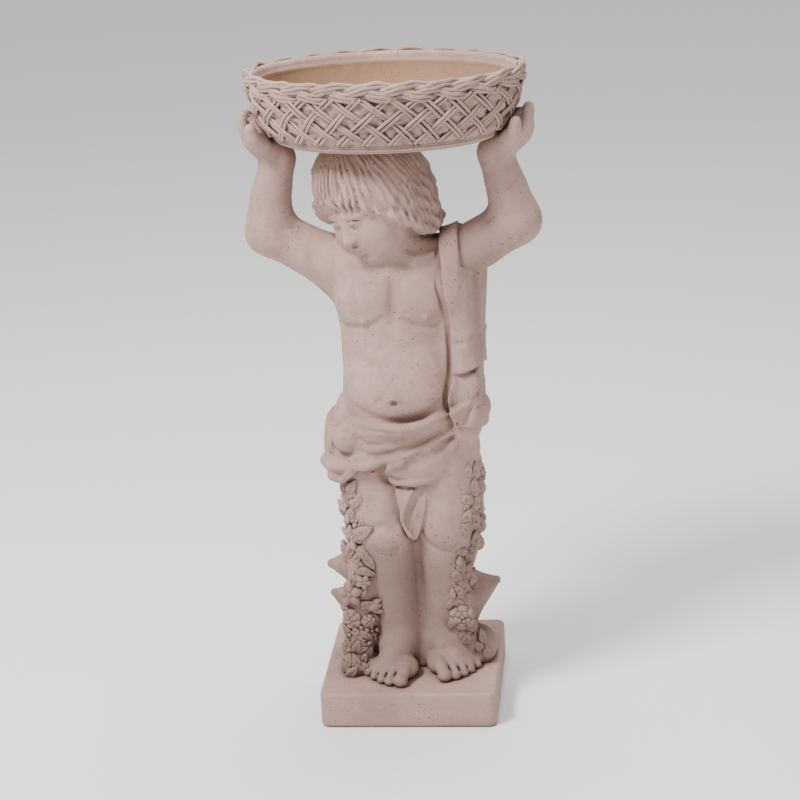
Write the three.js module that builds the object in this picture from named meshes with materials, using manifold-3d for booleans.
// Garden statue of a wingless cherub that holds an oval wicker basket on its head.
// One casting in tinted cast stone: plinth, tree stump, figure, garlands and basket.
// Millimetres, +Z up, the figure faces -Y, origin at the middle of the underside.
import * as THREE from 'three';
import { mergeVertices } from 'three/addons/utils/BufferGeometryUtils.js';
import Module from 'manifold-3d';

const wasm = await Module();
wasm.setup();

// Driving dimensions
const statueHeight = 1000;
const plinthWidth = 271;
const plinthDepth = 272;
const plinthHeight = 57;
const plinthCornerRadius = 14;
const plinthEdgeRadius = 5;
const basketLength = 424;
const basketWidth = 294;
const basketHeight = 108;
const basketWall = 14;
const basketFloor = 16;
const basketSetForward = 7;
const basketFootShare = 0.76;
const footBandHeight = 9;
const basketFlare = 0.65;
const rimStrandDiameter = 14;
const rimStrandTurns = 5;
const rimTwistOut = 0.46;
const rimTwistUp = 0.4;
const latticeStrandWidth = 9;
const latticeStrandProud = 3.5;
const latticeStrandCount = 26;
const latticeLean = 2;

// The figure is drawn for a height of 835 mm from its soles to the basket, and then scaled
const drawnFigureHeight = 835;
const figureHeight = statueHeight - plinthHeight - basketHeight;
const figureScale = figureHeight / drawnFigureHeight;
const clayCell = 4;
const clayReach = 14;
const figureTriangles = 5850;
const basketTriangles = 2600;

// Limits for the joining of small triangles into larger ones
const flatness = 1e-4;
const evenness = 1e-4;
const leastFace = 0.01;
const leastCosine = 0.15;

const { lerp, clamp, degToRad } = THREE.MathUtils;

// Clay shapes: each has a signed distance, negative inside, and the box that it lies in

function boxAround(points, margin) {
  const box = new THREE.Box3();
  for (const point of points) box.expandByPoint(new THREE.Vector3(...point));
  return box.expandByScalar(margin);
}

// A chain of round cones: points along a limb, with its radius at each
function limb(points, radii) {
  const distance = (x, y, z) => {
    let best = Infinity;
    for (let i = 0; i + 1 < points.length; i += 1) {
      const a = points[i];
      const b = points[i + 1];
      const dx = b[0] - a[0];
      const dy = b[1] - a[1];
      const dz = b[2] - a[2];
      const px = x - a[0];
      const py = y - a[1];
      const pz = z - a[2];
      const t = clamp((px * dx + py * dy + pz * dz) / (dx * dx + dy * dy + dz * dz), 0, 1);
      const gap = Math.sqrt((px - dx * t) ** 2 + (py - dy * t) ** 2 + (pz - dz * t) ** 2);
      best = Math.min(best, gap - lerp(radii[i], radii[i + 1], t));
    }
    return best;
  };
  return { distance, box: boxAround(points, Math.max(...radii)) };
}

// The same chain, rounded into a smooth curve through the points
function curvedLimb(points, radii, steps = points.length * 3) {
  const path = new THREE.CatmullRomCurve3(points.map((point) => new THREE.Vector3(...point)));
  const smooth = [];
  const widths = [];
  for (let i = 0; i <= steps; i += 1) {
    const share = (i / steps) * (points.length - 1);
    const from = Math.min(Math.floor(share), points.length - 2);
    smooth.push(path.getPoint(i / steps).toArray());
    widths.push(lerp(radii[from], radii[from + 1], share - from));
  }
  return limb(smooth, widths);
}

// A shape drawn round its own origin, and put where a rigid matrix says
function posed(shape, pose) {
  const back = pose.clone().invert().elements;
  const distance = (x, y, z) => shape.distance(
    back[0] * x + back[4] * y + back[8] * z + back[12],
    back[1] * x + back[5] * y + back[9] * z + back[13],
    back[2] * x + back[6] * y + back[10] * z + back[14],
  );
  return { distance, box: shape.box.clone().applyMatrix4(pose) };
}

// A shape moved to a place, after turns in degrees about y, then x, then z
function place(shape, origin, turn = [0, 0, 0]) {
  const [pitch, roll, yaw] = turn.map(degToRad);
  const pose = new THREE.Matrix4().makeRotationFromEuler(new THREE.Euler(pitch, roll, yaw, 'ZXY'));
  return posed(shape, pose.setPosition(...origin));
}

function ellipsoid(centre, radii, turn) {
  const [a, b, c] = radii;
  const distance = (x, y, z) => {
    const outer = Math.sqrt((x / a) ** 2 + (y / b) ** 2 + (z / c) ** 2);
    const inner = Math.sqrt((x / a ** 2) ** 2 + (y / b ** 2) ** 2 + (z / c ** 2) ** 2);
    return inner > 0 ? (outer * (outer - 1)) / inner : -Math.min(a, b, c);
  };
  const box = new THREE.Box3(new THREE.Vector3(-a, -b, -c), new THREE.Vector3(a, b, c));
  return place({ distance, box }, centre, turn);
}

function roundedBox(centre, half, radius, turn) {
  const distance = (x, y, z) => {
    const dx = Math.abs(x) - half[0] + radius;
    const dy = Math.abs(y) - half[1] + radius;
    const dz = Math.abs(z) - half[2] + radius;
    const outside = Math.hypot(Math.max(dx, 0), Math.max(dy, 0), Math.max(dz, 0));
    return outside + Math.min(Math.max(dx, dy, dz), 0) - radius;
  };
  const corner = new THREE.Vector3(...half);
  return place({ distance, box: new THREE.Box3(corner.clone().negate(), corner) }, centre, turn);
}

function softMin(a, b, blend) {
  if (blend === 0) return Math.min(a, b);
  const overlap = Math.max(blend - Math.abs(a - b), 0) / blend;
  return Math.min(a, b) - (overlap * overlap * blend) / 4;
}

// Which of the 256 ways to fill a cube's corners make one simple patch of surface: both the
// filled and the empty corners hang together, and no face has them crosswise
const simplePatch = Array.from({ length: 256 }, (unused, kind) => {
  const filled = (corner) => (kind >> corner) & 1;
  const whole = (side) => {
    const corners = [0, 1, 2, 3, 4, 5, 6, 7].filter((corner) => filled(corner) === side);
    const met = new Set(corners.slice(0, 1));
    for (const corner of met) {
      for (const bit of [1, 2, 4]) if (filled(corner ^ bit) === side) met.add(corner ^ bit);
    }
    return met.size === corners.length;
  };
  const crosswise = [[1, 2, 4], [1, 4, 2], [2, 4, 1]].some(([u, v, w]) => [0, w].some((start) => (
    filled(start) === filled(start | u | v) && filled(start | u) === filled(start | v)
    && filled(start) !== filled(start | u))));
  return whole(0) && whole(1) && !crosswise;
});

// A block of clay: distances on a grid, to which shapes are added and from which they are cut
class Clay {
  constructor(low, high, cell) {
    this.low = low;
    this.cell = cell;
    this.size = low.map((value, axis) => Math.ceil((high[axis] - value) / cell) + 1);
    this.strides = [1, this.size[0], this.size[0] * this.size[1]];
    this.corners = [0, 1, 2, 3, 4, 5, 6, 7].map((corner) => (
      this.strides.reduce((sum, stride, axis) => sum + ((corner >> axis) & 1) * stride, 0)));
    this.values = new Float32Array(this.strides[2] * this.size[2]).fill(clayReach * 2);
  }

  // Changes the grid's values in and round a shape's box, from its distance at each point
  each(shape, blend, change) {
    const from = [];
    const to = [];
    const margin = Math.max(clayReach, blend);
    for (const axis of [0, 1, 2]) {
      const low = shape.box.min.getComponent(axis) - margin - this.low[axis];
      const high = shape.box.max.getComponent(axis) + margin - this.low[axis];
      from.push(Math.max(Math.floor(low / this.cell), 0));
      to.push(Math.min(Math.ceil(high / this.cell), this.size[axis] - 1));
    }
    for (let k = from[2]; k <= to[2]; k += 1) {
      const z = this.low[2] + k * this.cell;
      for (let j = from[1]; j <= to[1]; j += 1) {
        const y = this.low[1] + j * this.cell;
        const row = j * this.strides[1] + k * this.strides[2];
        for (let i = from[0]; i <= to[0]; i += 1) {
          const x = this.low[0] + i * this.cell;
          this.values[row + i] = change(this.values[row + i], shape.distance(x, y, z));
        }
      }
    }
  }

  add(shape, blend = 0) {
    this.each(shape, blend, (old, distance) => softMin(old, distance, blend));
  }

  cut(shape, blend = 0) {
    this.each(shape, blend, (old, distance) => -softMin(-old, distance, blend));
  }

  // Lays a coat over what is there, inside a region
  coat(region, thickness, blend = 0) {
    this.each(region, blend, (old, distance) => (
      softMin(old, Math.max(old - thickness, distance), blend)));
  }

  at(x, y, z) {
    const px = clamp((x - this.low[0]) / this.cell, 0, this.size[0] - 1.001);
    const py = clamp((y - this.low[1]) / this.cell, 0, this.size[1] - 1.001);
    const pz = clamp((z - this.low[2]) / this.cell, 0, this.size[2] - 1.001);
    const [, up, over] = this.strides;
    const start = Math.floor(px) + Math.floor(py) * up + Math.floor(pz) * over;
    const row = (offset) => (
      lerp(this.values[start + offset], this.values[start + offset + 1], px % 1));
    const face = (offset) => lerp(row(offset), row(offset + up), py % 1);
    return lerp(face(0), face(over), pz % 1);
  }

  // The point of the front at a place across and up, raised by some depth. Beside the figure it
  // keeps the depth of the nearest point nearer to the middle.
  front(x, z, raise = 0) {
    const [, first] = this.low;
    const last = first + (this.size[1] - 1) * this.cell;
    const inward = 0.98;
    let across = x;
    do {
      for (let y = first; y < last; y += this.cell / 4) {
        if (this.at(across, y, z) <= 0) return [x, y - raise, z];
      }
      across *= inward;
    } while (Math.abs(across) > 1);
    return [x, 0, z];
  }

  // The filled corners of a cube, as bits
  kind(cube) {
    let kind = 0;
    for (let corner = 0; corner < 8; corner += 1) {
      if (this.values[cube + this.corners[corner]] < 0) kind |= 1 << corner;
    }
    return kind;
  }

  // Fills single points until the clay meets itself nowhere at a mere edge or corner
  settle() {
    const barelyFilled = -this.cell / 50;
    let filled = 1;
    while (filled > 0) {
      filled = 0;
      for (let cube = 0; cube < this.values.length - this.corners[7]; cube += 1) {
        if (simplePatch[this.kind(cube)]) continue;
        const empty = this.corners.filter((offset) => this.values[cube + offset] >= 0);
        const least = empty.reduce((best, offset) => (
          this.values[cube + offset] < this.values[cube + best] ? offset : best));
        this.values[cube + least] = barelyFilled;
        filled += 1;
      }
    }
  }

  // The surface as a net: a point in each cube that it crosses, two triangles over each grid edge
  mesh() {
    this.settle();
    const points = [];
    const triangles = [];
    const pointIn = new Int32Array(this.values.length).fill(-1);
    for (let cube = 0; cube < this.values.length - this.corners[7]; cube += 1) {
      const kind = this.kind(cube);
      if (kind === 0 || kind === 255) continue;
      const sum = [0, 0, 0];
      let crossings = 0;
      for (let corner = 0; corner < 8; corner += 1) {
        for (let axis = 0; axis < 3; axis += 1) {
          const next = corner | (1 << axis);
          if (((kind >> corner) & 1) === ((kind >> next) & 1)) continue;
          const from = this.values[cube + this.corners[corner]];
          const share = from / (from - this.values[cube + this.corners[next]]);
          for (let i = 0; i < 3; i += 1) sum[i] += i === axis ? share : (corner >> i) & 1;
          crossings += 1;
        }
      }
      const spot = [cube % this.size[0], Math.floor(cube / this.size[0]) % this.size[1],
        Math.floor(cube / this.strides[2])];
      pointIn[cube] = points.length;
      points.push(spot.map((value, i) => this.low[i] + (value + sum[i] / crossings) * this.cell));
    }
    for (let start = this.corners[7]; start < this.values.length - this.corners[7]; start += 1) {
      const inside = this.values[start] < 0;
      for (let axis = 0; axis < 3; axis += 1) {
        if (inside === this.values[start + this.strides[axis]] < 0) continue;
        const u = this.strides[(axis + 1) % 3];
        const v = this.strides[(axis + 2) % 3];
        const [a, b, c, d] = [0, u, u + v, v].map((offset) => pointIn[start - offset]);
        if (inside) triangles.push([a, b, c], [a, c, d]);
        else triangles.push([a, c, b], [a, d, c]);
      }
    }
    return { points, triangles };
  }
}

// Keeps the one largest body, without the crumbs and hollows that carving leaves
function largestBody({ points, triangles }) {
  const parent = points.map((point, i) => i);
  const root = (i) => {
    let at = i;
    while (parent[at] !== at) {
      parent[at] = parent[parent[at]];
      at = parent[at];
    }
    return at;
  };
  for (const [a, b, c] of triangles) {
    parent[root(a)] = root(b);
    parent[root(b)] = root(c);
  }
  const counts = new Map();
  for (const [a] of triangles) counts.set(root(a), (counts.get(root(a)) ?? 0) + 1);
  const [largest] = [...counts.entries()].reduce((best, entry) => (
    entry[1] > best[1] ? entry : best));
  return { points, triangles: triangles.filter(([a]) => root(a) === largest) };
}

// A heap of edges, the least harmful to join on top
class EdgeHeap {
  constructor() {
    this.edges = [];
  }

  push(edge) {
    const heap = this.edges;
    let at = heap.length;
    heap.push(edge);
    while (at > 0) {
      const above = (at - 1) >> 1;
      if (heap[above].cost <= edge.cost) break;
      heap[at] = heap[above];
      at = above;
    }
    heap[at] = edge;
  }

  pop() {
    const heap = this.edges;
    const top = heap[0];
    const last = heap.pop();
    if (heap.length === 0) return top;
    let at = 0;
    for (;;) {
      let below = 2 * at + 1;
      if (below >= heap.length) break;
      if (below + 1 < heap.length && heap[below + 1].cost < heap[below].cost) below += 1;
      if (heap[below].cost >= last.cost) break;
      heap[at] = heap[below];
      at = below;
    }
    heap[at] = last;
    return top;
  }
}

// Joins the ends of edges, the least harmful first, until few enough triangles are left. A point
// carries a quadric: ten numbers that give its squared distance from the planes it stands for.
class Simplifier {
  constructor({ points, triangles }) {
    this.spots = Float64Array.from(points.flat());
    this.faces = Int32Array.from(triangles.flat());
    this.around = points.map(() => []);
    this.quadrics = new Float64Array(points.length * 10);
    this.versions = new Int32Array(points.length);
    this.gone = new Uint8Array(points.length);
    this.heap = new EdgeHeap();
    this.best = [0, 0, 0];
    for (let n = 0; n < triangles.length; n += 1) {
      const [x, y, z] = this.normal(n, -1);
      const length = Math.hypot(x, y, z) || 1;
      const first = this.faces[n * 3] * 3;
      const w = -(x * this.spots[first] + y * this.spots[first + 1] + z * this.spots[first + 2]);
      const quadric = [x * x, x * y, x * z, x * w, y * y, y * z, y * w, z * z, z * w, w * w];
      for (let i = 0; i < 3; i += 1) {
        const point = this.faces[n * 3 + i];
        this.around[point].push(n);
        for (let m = 0; m < 10; m += 1) this.quadrics[point * 10 + m] += quadric[m] / length;
      }
    }
  }

  // A face's normal, twice its area long, with one of its points moved to the best place
  normal(n, moved) {
    const corners = [0, 1, 2].map((i) => {
      const point = this.faces[n * 3 + i];
      if (point === moved) return this.best;
      return [this.spots[point * 3], this.spots[point * 3 + 1], this.spots[point * 3 + 2]];
    });
    const [[ax, ay, az], [bx, by, bz], [cx, cy, cz]] = corners;
    return [
      (by - ay) * (cz - az) - (bz - az) * (cy - ay),
      (bz - az) * (cx - ax) - (bx - ax) * (cz - az),
      (bx - ax) * (cy - ay) - (by - ay) * (cx - ax),
    ];
  }

  // The joint error of two points at the place that makes it least, which is kept as the best
  error(a, b) {
    const sum = (n) => this.quadrics[a * 10 + n] + this.quadrics[b * 10 + n];
    const [xx, xy, xz, xw] = [sum(0), sum(1), sum(2), sum(3)];
    const [yy, yz, yw] = [sum(4), sum(5), sum(6)];
    const [zz, zw, ww] = [sum(7), sum(8), sum(9)];
    const errorAt = (x, y, z) => xx * x * x + yy * y * y + zz * z * z + ww
      + 2 * (xy * x * y + xz * x * z + yz * y * z + xw * x + yw * y + zw * z);
    const [ax, ay, az] = this.spots.subarray(a * 3, a * 3 + 3);
    const [bx, by, bz] = this.spots.subarray(b * 3, b * 3 + 3);
    const [mx, my, mz] = [(ax + bx) / 2, (ay + by) / 2, (az + bz) / 2];
    const length = Math.hypot(bx - ax, by - ay, bz - az);
    const c0 = yy * zz - yz * yz;
    const c1 = xz * yz - xy * zz;
    const c2 = xy * yz - xz * yy;
    const determinant = xx * c0 + xy * c1 + xz * c2;
    if (determinant > flatness * (xx + yy + zz) ** 3) {
      const x = -(c0 * xw + c1 * yw + c2 * zw) / determinant;
      const y = -(c1 * xw + (xx * zz - xz * xz) * yw + (xy * xz - xx * yz) * zw) / determinant;
      const z = -(c2 * xw + (xy * xz - xx * yz) * yw + (xx * yy - xy * xy) * zw) / determinant;
      if (Math.hypot(x - mx, y - my, z - mz) < 2 * length) {
        this.best = [x, y, z];
        return Math.max(errorAt(x, y, z), 0) + evenness * length;
      }
    }
    let least = Infinity;
    for (const point of [[mx, my, mz], [ax, ay, az], [bx, by, bz]]) {
      if (errorAt(...point) >= least) continue;
      least = errorAt(...point);
      this.best = point;
    }
    return Math.max(least, 0) + evenness * length;
  }

  consider(a, b) {
    const version = this.versions[a] + this.versions[b];
    this.heap.push({ cost: this.error(a, b), a, b, version });
  }

  neighbours(point) {
    const all = new Set();
    for (const n of this.around[point]) {
      for (const other of this.faces.subarray(n * 3, n * 3 + 3)) all.add(other);
    }
    all.delete(point);
    return all;
  }

  holds(n, point) {
    const [a, b, c] = [this.faces[n * 3], this.faces[n * 3 + 1], this.faces[n * 3 + 2]];
    return a === point || b === point || c === point;
  }

  // Whether a face round one end would turn over or shrink to nothing
  spoils(point, other) {
    return this.around[point].some((n) => {
      if (this.holds(n, other)) return false;
      const before = this.normal(n, -1);
      const after = this.normal(n, point);
      const along = before[0] * after[0] + before[1] * after[1] + before[2] * after[2];
      const size = Math.hypot(...after);
      return size < leastFace || along < leastCosine * Math.hypot(...before) * size;
    });
  }

  join(a, b) {
    for (let m = 0; m < 10; m += 1) this.quadrics[a * 10 + m] += this.quadrics[b * 10 + m];
    for (const n of this.around[b]) {
      if (this.holds(n, a)) {
        for (let i = n * 3; i < n * 3 + 3; i += 1) {
          const point = this.faces[i];
          if (point !== b) this.around[point].splice(this.around[point].indexOf(n), 1);
          this.faces[i] = -1;
        }
      } else {
        for (let i = n * 3; i < n * 3 + 3; i += 1) if (this.faces[i] === b) this.faces[i] = a;
        this.around[a].push(n);
      }
    }
    this.spots.set(this.best, a * 3);
    this.gone[b] = 1;
    this.versions[a] += 1;
    for (const point of this.neighbours(a)) this.consider(a, point);
  }

  run(goal) {
    for (let n = 0; n < this.faces.length; n += 3) {
      for (const [i, j] of [[0, 1], [1, 2], [2, 0]]) {
        const [a, b] = [this.faces[n + i], this.faces[n + j]];
        if (a < b) this.consider(a, b);
      }
    }
    let count = this.faces.length / 3;
    while (count > goal && this.heap.edges.length > 0) {
      const { a, b, version } = this.heap.pop();
      if (this.gone[a] || this.gone[b] || this.versions[a] + this.versions[b] !== version) continue;
      const near = this.neighbours(b);
      const shared = [...this.neighbours(a)].filter((point) => near.has(point));
      if (!near.has(a) || shared.length !== 2) continue;
      this.error(a, b);
      if (this.spoils(a, b) || this.spoils(b, a)) continue;
      this.join(a, b);
      count -= 2;
    }
    const left = this.faces.filter((point) => point >= 0);
    const places = new Map([...new Set(left)].map((point, n) => [point, n]));
    const points = [...places.keys()].map((point) => (
      [...this.spots.subarray(point * 3, point * 3 + 3)]));
    const triangles = [];
    for (let n = 0; n < left.length; n += 3) {
      triangles.push([places.get(left[n]), places.get(left[n + 1]), places.get(left[n + 2])]);
    }
    return { points, triangles };
  }
}

function simplify(shape, goal) {
  return new Simplifier(shape).run(goal);
}

// The statue's own right and left leg: the middle line from hip to ankle, with a radius at each
// point, and where the kneecap is
const rightLeg = {
  line: [[-46, -14, 350], [-30, -34, 236], [-26, -22, 150], [-20, -20, 50]],
  radii: [60, 46, 40, 34],
  knee: [-28, -62, 230],
};
const leftLeg = {
  line: [[56, -14, 350], [60, -38, 240], [58, -20, 150], [50, -6, 50]],
  radii: [58, 41, 38, 33],
  knee: [60, -62, 238],
};

// The legs stand close together, joined by a web that leaves a deep crease between them
function modelLegs(clay) {
  for (const { line, radii, knee } of [rightLeg, leftLeg]) {
    clay.add(limb(line, radii), 16);
    clay.add(ellipsoid(knee, [33, 20, 27]), 14);
  }
  clay.add(limb([[20, -26, 330], [20, -36, 240], [19, -22, 150], [13, -16, 50]], [36, 25, 20, 16]), 9);
}

// A bare foot, drawn pointing to -Y with its big toe on the side given, and then turned
function modelFoot(clay, heel, yaw, side) {
  const put = (shape, blend) => clay.add(place(shape, heel, [0, 0, yaw]), blend);
  put(ellipsoid([0, 0, 20], [28, 28, 26]), 10);
  put(limb([[-4 * side, -8, 54], [-6 * side, -40, 36], [-8 * side, -66, 20]], [31, 28, 17]), 16);
  put(ellipsoid([-6 * side, -64, 13], [38, 28, 15]), 10);
  put(ellipsoid([20 * side, -64, 14], [16, 22, 14]), 10);
  for (let toe = 0; toe < 5; toe += 1) {
    const across = (22 - 14.5 * toe - (toe > 0 ? 3 : 0)) * side;
    const tip = -111 + 1.6 * toe * toe;
    const thick = toe === 0 ? 11.5 : 8.6 - 0.4 * toe;
    const points = [
      [across * 0.95, tip + 36, 19],
      [across, tip + 18, 14],
      [across, tip + thick, thick * 0.85],
    ];
    put(limb(points, [thick * 0.9, thick * 0.9, thick]), 2);
  }
}

function modelTorso(clay) {
  clay.add(ellipsoid([2, -14, 375], [100, 66, 76]));
  clay.add(ellipsoid([2, -40, 462], [82, 62, 74]), 40);
  clay.add(ellipsoid([6, -14, 530], [88, 60, 84]), 30);
  clay.add(ellipsoid([8, -10, 596], [96, 62, 74]), 30);
  clay.add(limb([[-70, 4, 640], [10, 14, 650], [86, 6, 646]], [40, 38, 37]), 24);
  clay.add(ellipsoid([-36, -44, 600], [44, 30, 34]), 22);
  clay.add(ellipsoid([48, -44, 604], [42, 30, 34]), 22);
  const breastbone = [clay.front(6, 640, 2), clay.front(5, 600, 2), clay.front(3, 575, 2)];
  clay.cut(limb(breastbone, [3, 3.5, 2]), 16);
  for (const [from, to] of [[-78, -4], [20, 82]]) {
    const crease = [0, 0.33, 0.67, 1].map((share) => {
      const sag = 7 * Math.sin(share * Math.PI);
      return clay.front(lerp(from, to, share), 567 - sag, 1.5);
    });
    clay.cut(curvedLimb(crease, [3, 3.5, 3.5, 2]), 8);
  }
  const belly = [[-62, 446], [-34, 432], [4, 428], [40, 434], [66, 450]];
  clay.cut(curvedLimb(belly.map(([x, z]) => clay.front(x, z, 2)), [2, 5, 6, 5, 2]), 10);
  clay.cut(ellipsoid(clay.front(0, 458, 0), [5.5, 6, 5.5]), 4);
  clay.add(limb([[8, 6, 640], [-4, 0, 700]], [44, 40]), 20);
}

// The raised arms: shoulder, elbow, the thick of the forearm, and wrist
const rightArm = [[-74, 6, 634], [-182, 0, 698], [-178, 0, 750], [-163, 0, 808]];
const leftArm = [[90, 6, 646], [184, 0, 706], [172, 0, 754], [156, 0, 808]];

function modelArm(clay, [shoulder, elbow, forearm, wrist]) {
  clay.add(limb([shoulder, elbow], [40, 34]), 26);
  clay.add(limb([elbow, forearm, wrist], [34, 31, 24]), 18);
}

// A hand that lies against the end of the basket, with its fingers up and its thumb in front
function modelHand(clay, side, wrist, reach) {
  const palm = [side * (reach - 24), -basketSetForward, 844];
  clay.add(limb([wrist, palm], [23, 24]), 12);
  clay.add(ellipsoid(palm, [22, 37, 33], [0, side * 32, 0]), 12);
  for (let finger = 0; finger < 4; finger += 1) {
    const y = (finger - 1.5) * 17 - basketSetForward;
    const longer = 5 * Math.sin((finger + 0.6) * 0.85);
    const points = [
      [side * (reach - 14), y, 850],
      [side * (reach - 6), y, 862],
      [side * (reach - 5), y, 870 + longer],
    ];
    clay.add(limb(points, [11, 9.5, 8]), 4);
  }
  const thumb = [
    [side * (reach - 34), -34, 838],
    [side * (reach - 24), -54, 850],
    [side * (reach - 21), -62, 866],
  ];
  clay.add(limb(thumb, [13, 10.5, 8]), 8);
}

// The head is drawn looking to -Y about its own middle, and then tipped and turned
const headMiddle = [-20, -16, 746];
const headTurn = [24, -13, -38];

function modelHead(clay) {
  const put = (shape, blend) => clay.add(place(shape, headMiddle, headTurn), blend);
  const carve = (shape, blend) => clay.cut(place(shape, headMiddle, headTurn), blend);
  put(ellipsoid([0, 8, 14], [68, 76, 70]));
  put(ellipsoid([0, -24, -16], [55, 50, 58]), 20);
  put(ellipsoid([0, -52, -58], [17, 15, 13]), 14);
  for (const side of [-1, 1]) {
    put(ellipsoid([side * 29, -46, -24], [24, 22, 25]), 14);
    put(ellipsoid([side * 22, -63, 17], [19, 8, 6], [0, side * 8, side * 14]), 8);
    carve(ellipsoid([side * 23, -74, 3], [13, 9, 7.5], [0, 0, side * 16]), 6);
    put(ellipsoid([side * 22, -55, 2], [12, 12, 9]), 3);
    put(ellipsoid([side * 7, -74, -19], [6, 7, 5]), 5);
  }
  put(limb([[0, -68, 6], [0, -76, -8], [0, -82, -18]], [5, 6, 7]), 8);
  put(curvedLimb([[-15, -66, -37], [0, -75, -35], [15, -66, -37]], [2.5, 5, 2.5]), 5);
  put(curvedLimb([[-12, -65, -43], [0, -72, -44], [12, -65, -43]], [2.5, 5.5, 2.5]), 4);
  carve(curvedLimb([[-16, -70, -39], [0, -80, -39.5], [16, -70, -39]], [1.5, 2, 1.5]), 3);
}

// Hair: straight locks that run down from the crown and curl under at their ends
function modelHair(clay) {
  const radii = [80, 90, 102];
  const middle = [-6, 10, 6];
  const shell = ellipsoid(middle, radii, [0, -12, 0]);
  const distance = (x, y, z) => {
    const angle = Math.atan2(x - middle[0], middle[1] - y);
    const low = (middle[2] + radii[2] - z) / radii[2];
    const groove = 3.2 * Math.cos(15 * angle + 1.2 * Math.sin(3 * angle)) * clamp(low * 1.5, 0, 1);
    // The ends hang lower at the sides and the nape than over the brow
    const ends = z - lerp(34, -52, clamp((y + 80) / 95, 0, 1) ** 0.8) + 3 * Math.cos(15 * angle + 2);
    const curl = 5 * Math.exp(-(((ends - 10) / 9) ** 2));
    return -softMin(-(shell.distance(x, y, z) - groove - curl), ends, 8);
  };
  clay.add(place({ distance, box: shell.box }, headMiddle, headTurn), 3);
}

// Cloth bound round the hips: a coat over the body, its rolled upper edge and its falling folds
function modelHipCloth(clay) {
  const dip = (x, middle, width) => Math.exp(-(((x - middle) / width) ** 2));
  const hem = (x) => 344 - 24 * dip(x, -100, 26) + 8 * dip(x, -40, 30);
  const region = {
    distance: (x, y, z) => {
      const top = lerp(402, 436, clamp((x + 100) / 200, 0, 1)) + clamp(y, 0, 60) * 0.2;
      return Math.max(z - top, hem(x) - z);
    },
    box: boxAround([[-130, -120, 310], [130, 90, 450]], 0),
  };
  clay.add(ellipsoid([-82, 6, 390], [26, 44, 58], [0, 6, 0]), 24);
  clay.coat(region, 9, 4);
  const tail = {
    distance: (x, y, z) => Math.max(Math.abs(x - 16) - 25 * Math.sqrt(clamp((z - 236) / 84, 0, 1)), z - 350),
    box: boxAround([[-12, -120, 236], [44, -40, 352]], 0),
  };
  clay.add(ellipsoid([17, -58, 300], [22, 22, 52]), 12);
  clay.coat(tail, 8, 3);
  // Over the left thigh the cloth clings and fades out without an edge
  clay.add(limb([[58, -23, 356], [60, -41, 262]], [58, 42]), 12);
  const fold = (line, radii, raise, blend) => {
    clay.add(curvedLimb(line.map(([x, z]) => clay.front(x, z, raise)), radii), blend);
  };
  const roll = [
    [-104, 372], [-88, 398], [-64, 413], [-30, 417], [10, 418], [48, 425], [76, 434], [94, 440],
  ];
  fold(roll, [8, 10, 11, 10, 9, 8, 7, 6], -2, 6);
  clay.add(ellipsoid(clay.front(-76, 392, -6), [24, 20, 22]), 6);
  fold([[-118, 352], [-100, 352], [-84, 362]], [12, 13, 9], 2, 8);
  fold([[-106, 336], [-92, 332], [-76, 346]], [10, 10, 7], 0, 5);
  const across = [[-70, 352], [-46, 354], [-24, 364], [4, 370], [40, 384], [78, 402], [98, 410]];
  fold(across, [6, 7, 7, 8, 8, 7, 5], 0, 7);
  fold([[96, 398], [76, 378], [56, 362]], [6, 6, 3], 0, 6);
  fold([[8, 364], [-10, 354], [-16, 338], [-4, 328], [24, 329], [50, 332]], [7, 8, 9, 8, 6, 4], 1, 7);
  clay.add(ellipsoid(clay.front(16, 346, -2), [28, 10, 16]), 10);
}

// Cloth over the left shoulder, down the side to the hip, and down the back
function modelShoulderCloth(clay) {
  const notch = (z) => 8 * Math.exp(-(((z - 452) / 22) ** 2));
  const edge = (z) => 70 + 16 * clamp((680 - z) / 110, 0, 1) - notch(z);
  // Only a narrow band lies over the shoulder, beside the bare arm
  const outer = (y, z) => (
    98 + 0.1 * (690 - z) + 70 * clamp((652 - z) / 60, 0, 1) ** 2 + 60 * clamp((y - 30) / 20, 0, 1));
  const region = {
    distance: (x, y, z) => (
      Math.max(edge(z) - x, x - outer(y, z), 412 - z + 0.25 * Math.max(x - 100, 0), z - 712)),
    box: boxAround([[60, -120, 405], [150, 90, 712]], 0),
  };
  clay.add(roundedBox([90, -14, 520], [28, 46, 112], 22), 16);
  clay.add(roundedBox([92, 32, 524], [30, 18, 128], 10), 10);
  clay.add(roundedBox([44, 52, 500], [66, 14, 160], 12, [-3, 14, 0]), 14);
  clay.add(ellipsoid([100, -34, 408], [26, 40, 36]), 10);
  clay.coat(region, 8, 3);
  const tucks = [
    [[90, 534], [104, 540], [120, 536]],
    [[92, 498], [112, 497], [132, 506]],
    [[112, 446], [122, 470]],
  ];
  for (const tuck of tucks) {
    clay.cut(curvedLimb(tuck.map(([x, z]) => clay.front(x, z, 1)), tuck.map(() => 3)), 5);
  }
}

// The tree stump behind the legs, with three lopped branches
function modelStump(clay) {
  const trunk = {
    distance: (x, y, z) => {
      const wide = 97 + 5 * Math.sin(z / 40) - 30 * clamp((z - 250) / 120, 0, 1) ** 2;
      const deep = 46 + 3 * Math.cos(z / 33);
      const across = Math.hypot(x / wide, (y - 36) / deep);
      const bark = 2 * Math.cos(9 * Math.atan2(x, y - 36) + z / 60);
      return Math.max((across - 1) * deep - bark, z - 370, -12 - z);
    },
    box: boxAround([[-110, -10, -12], [110, 90, 370]], 0),
  };
  clay.add(trunk, 12);
  clay.add(limb([[-82, 34, 140], [-127, 30, 146]], [38, 7]), 8);
  clay.add(limb([[-84, 36, 76], [-126, 30, 97]], [34, 7]), 8);
  clay.add(limb([[84, 36, 94], [132, 30, 117]], [44, 7]), 8);
}

// Flowers and leaves, drawn lying on the surface: x along them, z away from it

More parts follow.
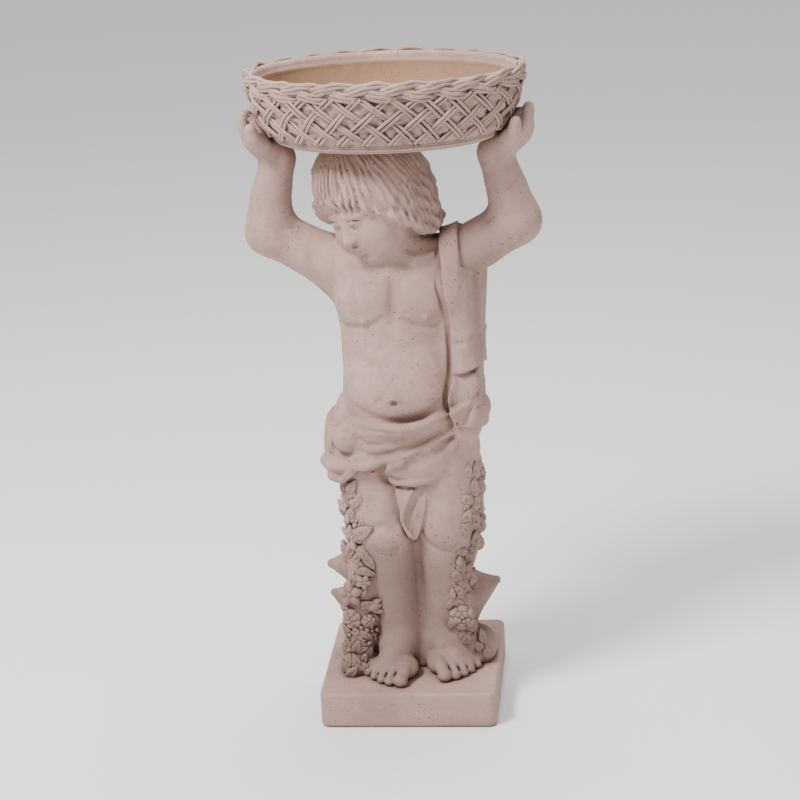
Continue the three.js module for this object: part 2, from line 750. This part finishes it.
function leaf(length) {
  const wide = length * 0.28;
  const distance = (x, y, z) => {
    const outer = Math.hypot(x / (length / 2), y / wide);
    const ribs = 0.8 * Math.cos((x - Math.abs(y) * 0.9) * 1.1) - 2 * Math.exp(-((y / 1.8) ** 2));
    const thick = 6 * Math.sqrt(Math.max(1 - outer * 0.7, 0)) + ribs;
    return Math.max((outer - 1) * wide, Math.abs(z) - thick);
  };
  return { distance, box: boxAround([[-length / 2, 0, 0], [length / 2, 0, 0]], wide) };
}

function bud(length) {
  return limb([[-length * 0.2, 0, 1], [length * 0.25, 0, 2]], [length * 0.26, length * 0.17]);
}

function berries(size) {
  const goldenTurn = 2.4;
  const balls = [0, 1, 2, 3, 4].map((n) => (
    [0.3 * size * Math.cos(n * goldenTurn), 0.3 * size * Math.sin(n * goldenTurn), 3]));
  const distance = (x, y, z) => Math.min(...balls.map((ball) => (
    Math.hypot(x - ball[0], y - ball[1], z - ball[2]) - 0.2 * size)));
  return { distance, box: boxAround(balls, 0.2 * size) };
}

function flower(size, petals = 5) {
  const distance = (x, y, z) => {
    const step = (2 * Math.PI) / petals;
    const angle = Math.atan2(y, x);
    const turn = angle - Math.round(angle / step) * step;
    const radius = Math.hypot(x, y);
    const along = radius * Math.cos(turn) - 0.3 * size;
    const across = radius * Math.sin(turn);
    const petal = (Math.hypot(along / 0.22, across / 0.17, (z * size) / 28) / size - 1) * 0.17 * size;
    return Math.min(petal, Math.hypot(x, y, z - 3) - 0.13 * size);
  };
  return { distance, box: boxAround([[0, 0, 0]], 0.54 * size) };
}

function rose(size) {
  const distance = (x, y, z) => {
    const radius = Math.hypot(x, y) / size;
    const spiral = radius * 8 - Math.atan2(y, x) / Math.PI;
    const fold = 1.6 * Math.cos(spiral * Math.PI) * clamp(radius * 6, 0, 1);
    return (Math.hypot(radius * 2, (z * 2.6) / size) - 1) * size * 0.36 - fold;
  };
  return { distance, box: boxAround([[0, 0, 0]], 0.55 * size) };
}

// Lays a motif on the surface that faces the viewer at a place across and up
function lay(clay, motif, [x, z, turn]) {
  const spot = new THREE.Vector3(...clay.front(x, z, 1));
  const step = clay.cell;
  const slope = [[step, 0, 0], [0, step, 0], [0, 0, step]].map(([dx, dy, dz]) => (
    clay.at(spot.x + dx, spot.y + dy, spot.z + dz) - clay.at(spot.x - dx, spot.y - dy, spot.z - dz)));
  const away = new THREE.Vector3(...slope).add(new THREE.Vector3(0, -step, 0)).normalize();
  const along = new THREE.Vector3(Math.cos(degToRad(turn)), 0, Math.sin(degToRad(turn)));
  along.addScaledVector(away, -along.dot(away)).normalize();
  const pose = new THREE.Matrix4().makeBasis(along, away.clone().cross(along), away).setPosition(spot);
  clay.add(posed(motif, pose), 2);
}

// Garlands that hang down both sides of the legs, over a vine that ties them to the stump
function modelGarlands(clay) {
  const rightVine = [
    [-78, -22, 312], [-72, -32, 240], [-68, -38, 170], [-74, -36, 110], [-78, -38, 60], [-84, -40, 10],
  ];
  const leftVine = [
    [104, -2, 330], [102, -12, 260], [92, -26, 195], [78, -38, 150], [78, -38, 96], [90, -30, 40],
  ];
  clay.add(curvedLimb(rightVine, [20, 24, 26, 26, 26, 22]), 10);
  clay.add(curvedLimb(leftVine, [17, 20, 20, 18, 20, 18]), 10);
  clay.add(ellipsoid([106, 8, 14], [25, 44, 28]), 10);
  // Each leaf or bud: how far across and up, the way that it points, and its length
  const rightLeaves = [
    [-72, 306, 62, 34], [-88, 290, 115, 30], [-92, 262, 80, 30], [-70, 274, 45, 28],
    [-52, 230, 22, 42], [-92, 232, 100, 34], [-60, 196, -35, 36], [-56, 172, -12, 30],
    [-92, 186, 120, 28], [-92, 50, 100, 34], [-104, 26, 70, 32], [-78, 36, 95, 32],
    [-86, 12, 60, 34], [-66, 20, 120, 26],
  ];
  const leftLeaves = [
    [106, 322, 80, 36], [100, 292, 80, 40], [113, 276, 100, 36], [99, 246, 84, 40],
    [113, 240, 96, 36], [101, 206, 84, 34], [112, 200, 96, 30], [80, 170, 66, 36],
    [92, 150, 110, 30], [66, 108, 70, 24], [96, 116, 60, 28], [120, 40, 120, 34],
    [122, 22, 60, 34],
  ];
  for (const [x, z, turn, length] of [...rightLeaves, ...leftLeaves]) {
    lay(clay, leaf(length), [x, z, turn]);
  }
  const buds = [
    [-82, 246, 80, 26], [-76, 214, 100, 26], [-52, 108, 8, 40], [-64, 134, 60, 22], [68, 134, 90, 22],
  ];
  for (const [x, z, turn, length] of buds) lay(clay, bud(length), [x, z, turn]);
  lay(clay, flower(46), [-86, 136, 96]);
  lay(clay, flower(28), [-64, 166, 70]);
  lay(clay, rose(46), [-88, 88, 20]);
  lay(clay, rose(50), [82, 92, 200]);
  for (const [x, z] of [[-62, 76], [-60, 58], [-74, 58]]) lay(clay, berries(24), [x, z, 0]);
}

function sculptFigure() {
  const clay = new Clay([-240, -140, -24], [240, 120, 916], clayCell);
  const gripReach = basketLength / 2 / figureScale;
  modelStump(clay);
  modelTorso(clay);
  modelLegs(clay);
  modelFoot(clay, [-6, -6, 0], -16, 1);
  modelFoot(clay, [34, 10, 0], 24, -1);
  modelArm(clay, rightArm);
  modelArm(clay, leftArm);
  modelHand(clay, -1, rightArm.at(-1), gripReach);
  modelHand(clay, 1, leftArm.at(-1), gripReach);
  modelHipCloth(clay);
  modelShoulderCloth(clay);
  modelHead(clay);
  modelHair(clay);
  modelGarlands(clay);
  return clay;
}

function clayGeometry(shape) {
  const geometry = new THREE.BufferGeometry();
  geometry.setAttribute('position', new THREE.Float32BufferAttribute(shape.points.flat(), 3));
  geometry.setIndex(shape.triangles.flat());
  return geometry;
}

// Solids for joining and cutting
function solid(geometry) {
  const bare = geometry.clone();
  for (const name of ['normal', 'uv']) bare.deleteAttribute(name);
  const merged = mergeVertices(bare, 1e-4);
  return new wasm.Manifold(new wasm.Mesh({
    numProp: 3,
    vertProperties: merged.attributes.position.array,
    triVerts: merged.index.array,
  }));
}

function shapeOf(body) {
  const { vertProperties, triVerts } = body.getMesh();
  const points = [];
  const triangles = [];
  for (let i = 0; i < vertProperties.length; i += 3) {
    points.push([...vertProperties.subarray(i, i + 3)]);
  }
  for (let i = 0; i < triVerts.length; i += 3) {
    triangles.push([...triVerts.subarray(i, i + 3)]);
  }
  return { points, triangles };
}

// The plinth: a rounded rectangle with softened edges
function plinthBody() {
  const acrossHalf = plinthWidth / 2 - plinthEdgeRadius;
  const depthHalf = plinthDepth / 2 - plinthEdgeRadius;
  const radius = plinthCornerRadius - plinthEdgeRadius;
  const outline = new THREE.Shape();
  for (const [n, [sideX, sideY]] of [[1, 1], [-1, 1], [-1, -1], [1, -1]].entries()) {
    const [x, y] = [sideX * (acrossHalf - radius), sideY * (depthHalf - radius)];
    outline.absarc(x, y, radius, (n * Math.PI) / 2, ((n + 1) * Math.PI) / 2);
  }
  const geometry = new THREE.ExtrudeGeometry(outline, {
    depth: plinthHeight - 2 * plinthEdgeRadius,
    bevelThickness: plinthEdgeRadius,
    bevelSize: plinthEdgeRadius,
    bevelSegments: 2,
    curveSegments: 4,
  });
  return solid(geometry.translate(0, 0, plinthEdgeRadius));
}

// The basket is an oval bowl. Below the braid it reaches this far from its middle, and less
// further down, by the share that the height over its underside gives.
const braidReach = rimStrandDiameter * 0.9;
const halfLength = basketLength / 2 - braidReach;
const halfWidth = basketWidth / 2 - braidReach;
const rimTop = basketHeight - rimStrandDiameter * 0.55;

function basketShare(height) {
  const rise = Math.sin((clamp(height / rimTop, 0, 1) * Math.PI) / 2);
  return lerp(basketFootShare, 1, rise ** basketFlare);
}

function ovalBowl(profile, wall) {
  const points = profile.map(([share, height]) => new THREE.Vector2(share, height));
  const bowl = new THREE.LatheGeometry(points, 44).rotateX(Math.PI / 2);
  bowl.scale(halfLength - wall, halfWidth - wall, 1);
  return solid(bowl.translate(0, -basketSetForward, statueHeight - basketHeight));
}

function basketOutside() {
  const rings = 6;
  const sides = Array.from({ length: rings + 1 }, (unused, n) => {
    const height = lerp(footBandHeight, rimTop, n / rings);
    return [basketShare(height), height];
  });
  const foot = [[0, 0], [basketFootShare, 0], [basketShare(footBandHeight) + 0.012, footBandHeight * 0.6]];
  return ovalBowl([...foot, ...sides, [0, rimTop]], 0);
}

// The hollow keeps the wall's thickness, over a flat floor
function basketHollow() {
  const rings = 4;
  const sides = Array.from({ length: rings + 1 }, (unused, n) => {
    const height = lerp(basketFloor + 6, rimTop, n / rings);
    return [basketShare(height), height];
  });
  const floor = [[0, basketFloor], [basketShare(basketFloor) * 0.95, basketFloor]];
  return ovalBowl([...floor, ...sides, [1, basketHeight + 1], [0, basketHeight + 1]], basketWall);
}

// A point of the basket's side: a share of the way round, a height, and how far proud of it
function onBasket(round, height, proud) {
  const share = basketShare(height);
  const oval = new THREE.EllipseCurve(0, 0, halfLength * share + proud, halfWidth * share + proud);
  const { x, y } = oval.getPointAt(((round % 1) + 1) % 1);
  return new THREE.Vector3(x, y - basketSetForward, statueHeight - basketHeight + height);
}

// Two strands twisted round each other along the rim
function rimStrand(half) {
  const steps = rimStrandTurns * 13;
  const points = Array.from({ length: steps }, (unused, n) => {
    const angle = ((n / steps) * rimStrandTurns + half / 2) * 2 * Math.PI;
    const point = onBasket(n / steps, rimTop, Math.cos(angle) * rimStrandDiameter * rimTwistOut);
    point.z += (Math.sin(angle) * rimTwistUp - 0.35) * rimStrandDiameter;
    return point;
  });
  const path = new THREE.CatmullRomCurve3(points, true);
  return solid(new THREE.TubeGeometry(path, steps, rimStrandDiameter / 2, 5, true));
}

// One strand of the lattice, climbing round the side from the foot band to the rim
function latticeStrand(start, direction) {
  const steps = 4;
  const lean = (direction * latticeLean) / latticeStrandCount;
  const proud = latticeStrandProud - latticeStrandWidth / 2;
  const points = Array.from({ length: steps + 1 }, (unused, n) => {
    const height = lerp(footBandHeight * 0.8, rimTop - rimStrandDiameter * 0.5, n / steps);
    return onBasket(start + (lean * n) / steps, height, proud);
  });
  const section = new THREE.Shape();
  section.absarc(0, 0, latticeStrandWidth / 2, 0, 2 * Math.PI);
  const path = new THREE.CatmullRomCurve3(points);
  const tube = new THREE.ExtrudeGeometry(section, { extrudePath: path, steps, curveSegments: 5 });
  return solid(tube);
}

function basketBody() {
  const strands = [rimStrand(0), rimStrand(1)];
  for (let n = 0; n < latticeStrandCount; n += 1) {
    for (const direction of [-1, 1]) strands.push(latticeStrand(n / latticeStrandCount, direction));
  }
  return strands.reduce((body, strand) => body.add(strand), basketOutside());
}

function figureBody() {
  const shape = simplify(largestBody(sculptFigure().mesh()), figureTriangles);
  const geometry = clayGeometry(shape).scale(figureScale, figureScale, figureScale);
  return solid(geometry.translate(0, 0, plinthHeight));
}

// The whole casting is one solid. The hollow is cut last, so it takes the crown out of the bowl.
const basket = solid(clayGeometry(simplify(shapeOf(basketBody()), basketTriangles)));
const statue = plinthBody().add(figureBody()).add(basket).subtract(basketHollow());

const castStone = new THREE.MeshStandardMaterial({ color: 0xb9a299, roughness: 0.9, metalness: 0 });
// Specks of air that crossing strands shut in are left out with all but the outer skin
const casting = new THREE.Mesh(clayGeometry(largestBody(shapeOf(statue))), castStone);
casting.name = 'cherub_statue';

const object = new THREE.Group();
object.add(casting);
export default object;
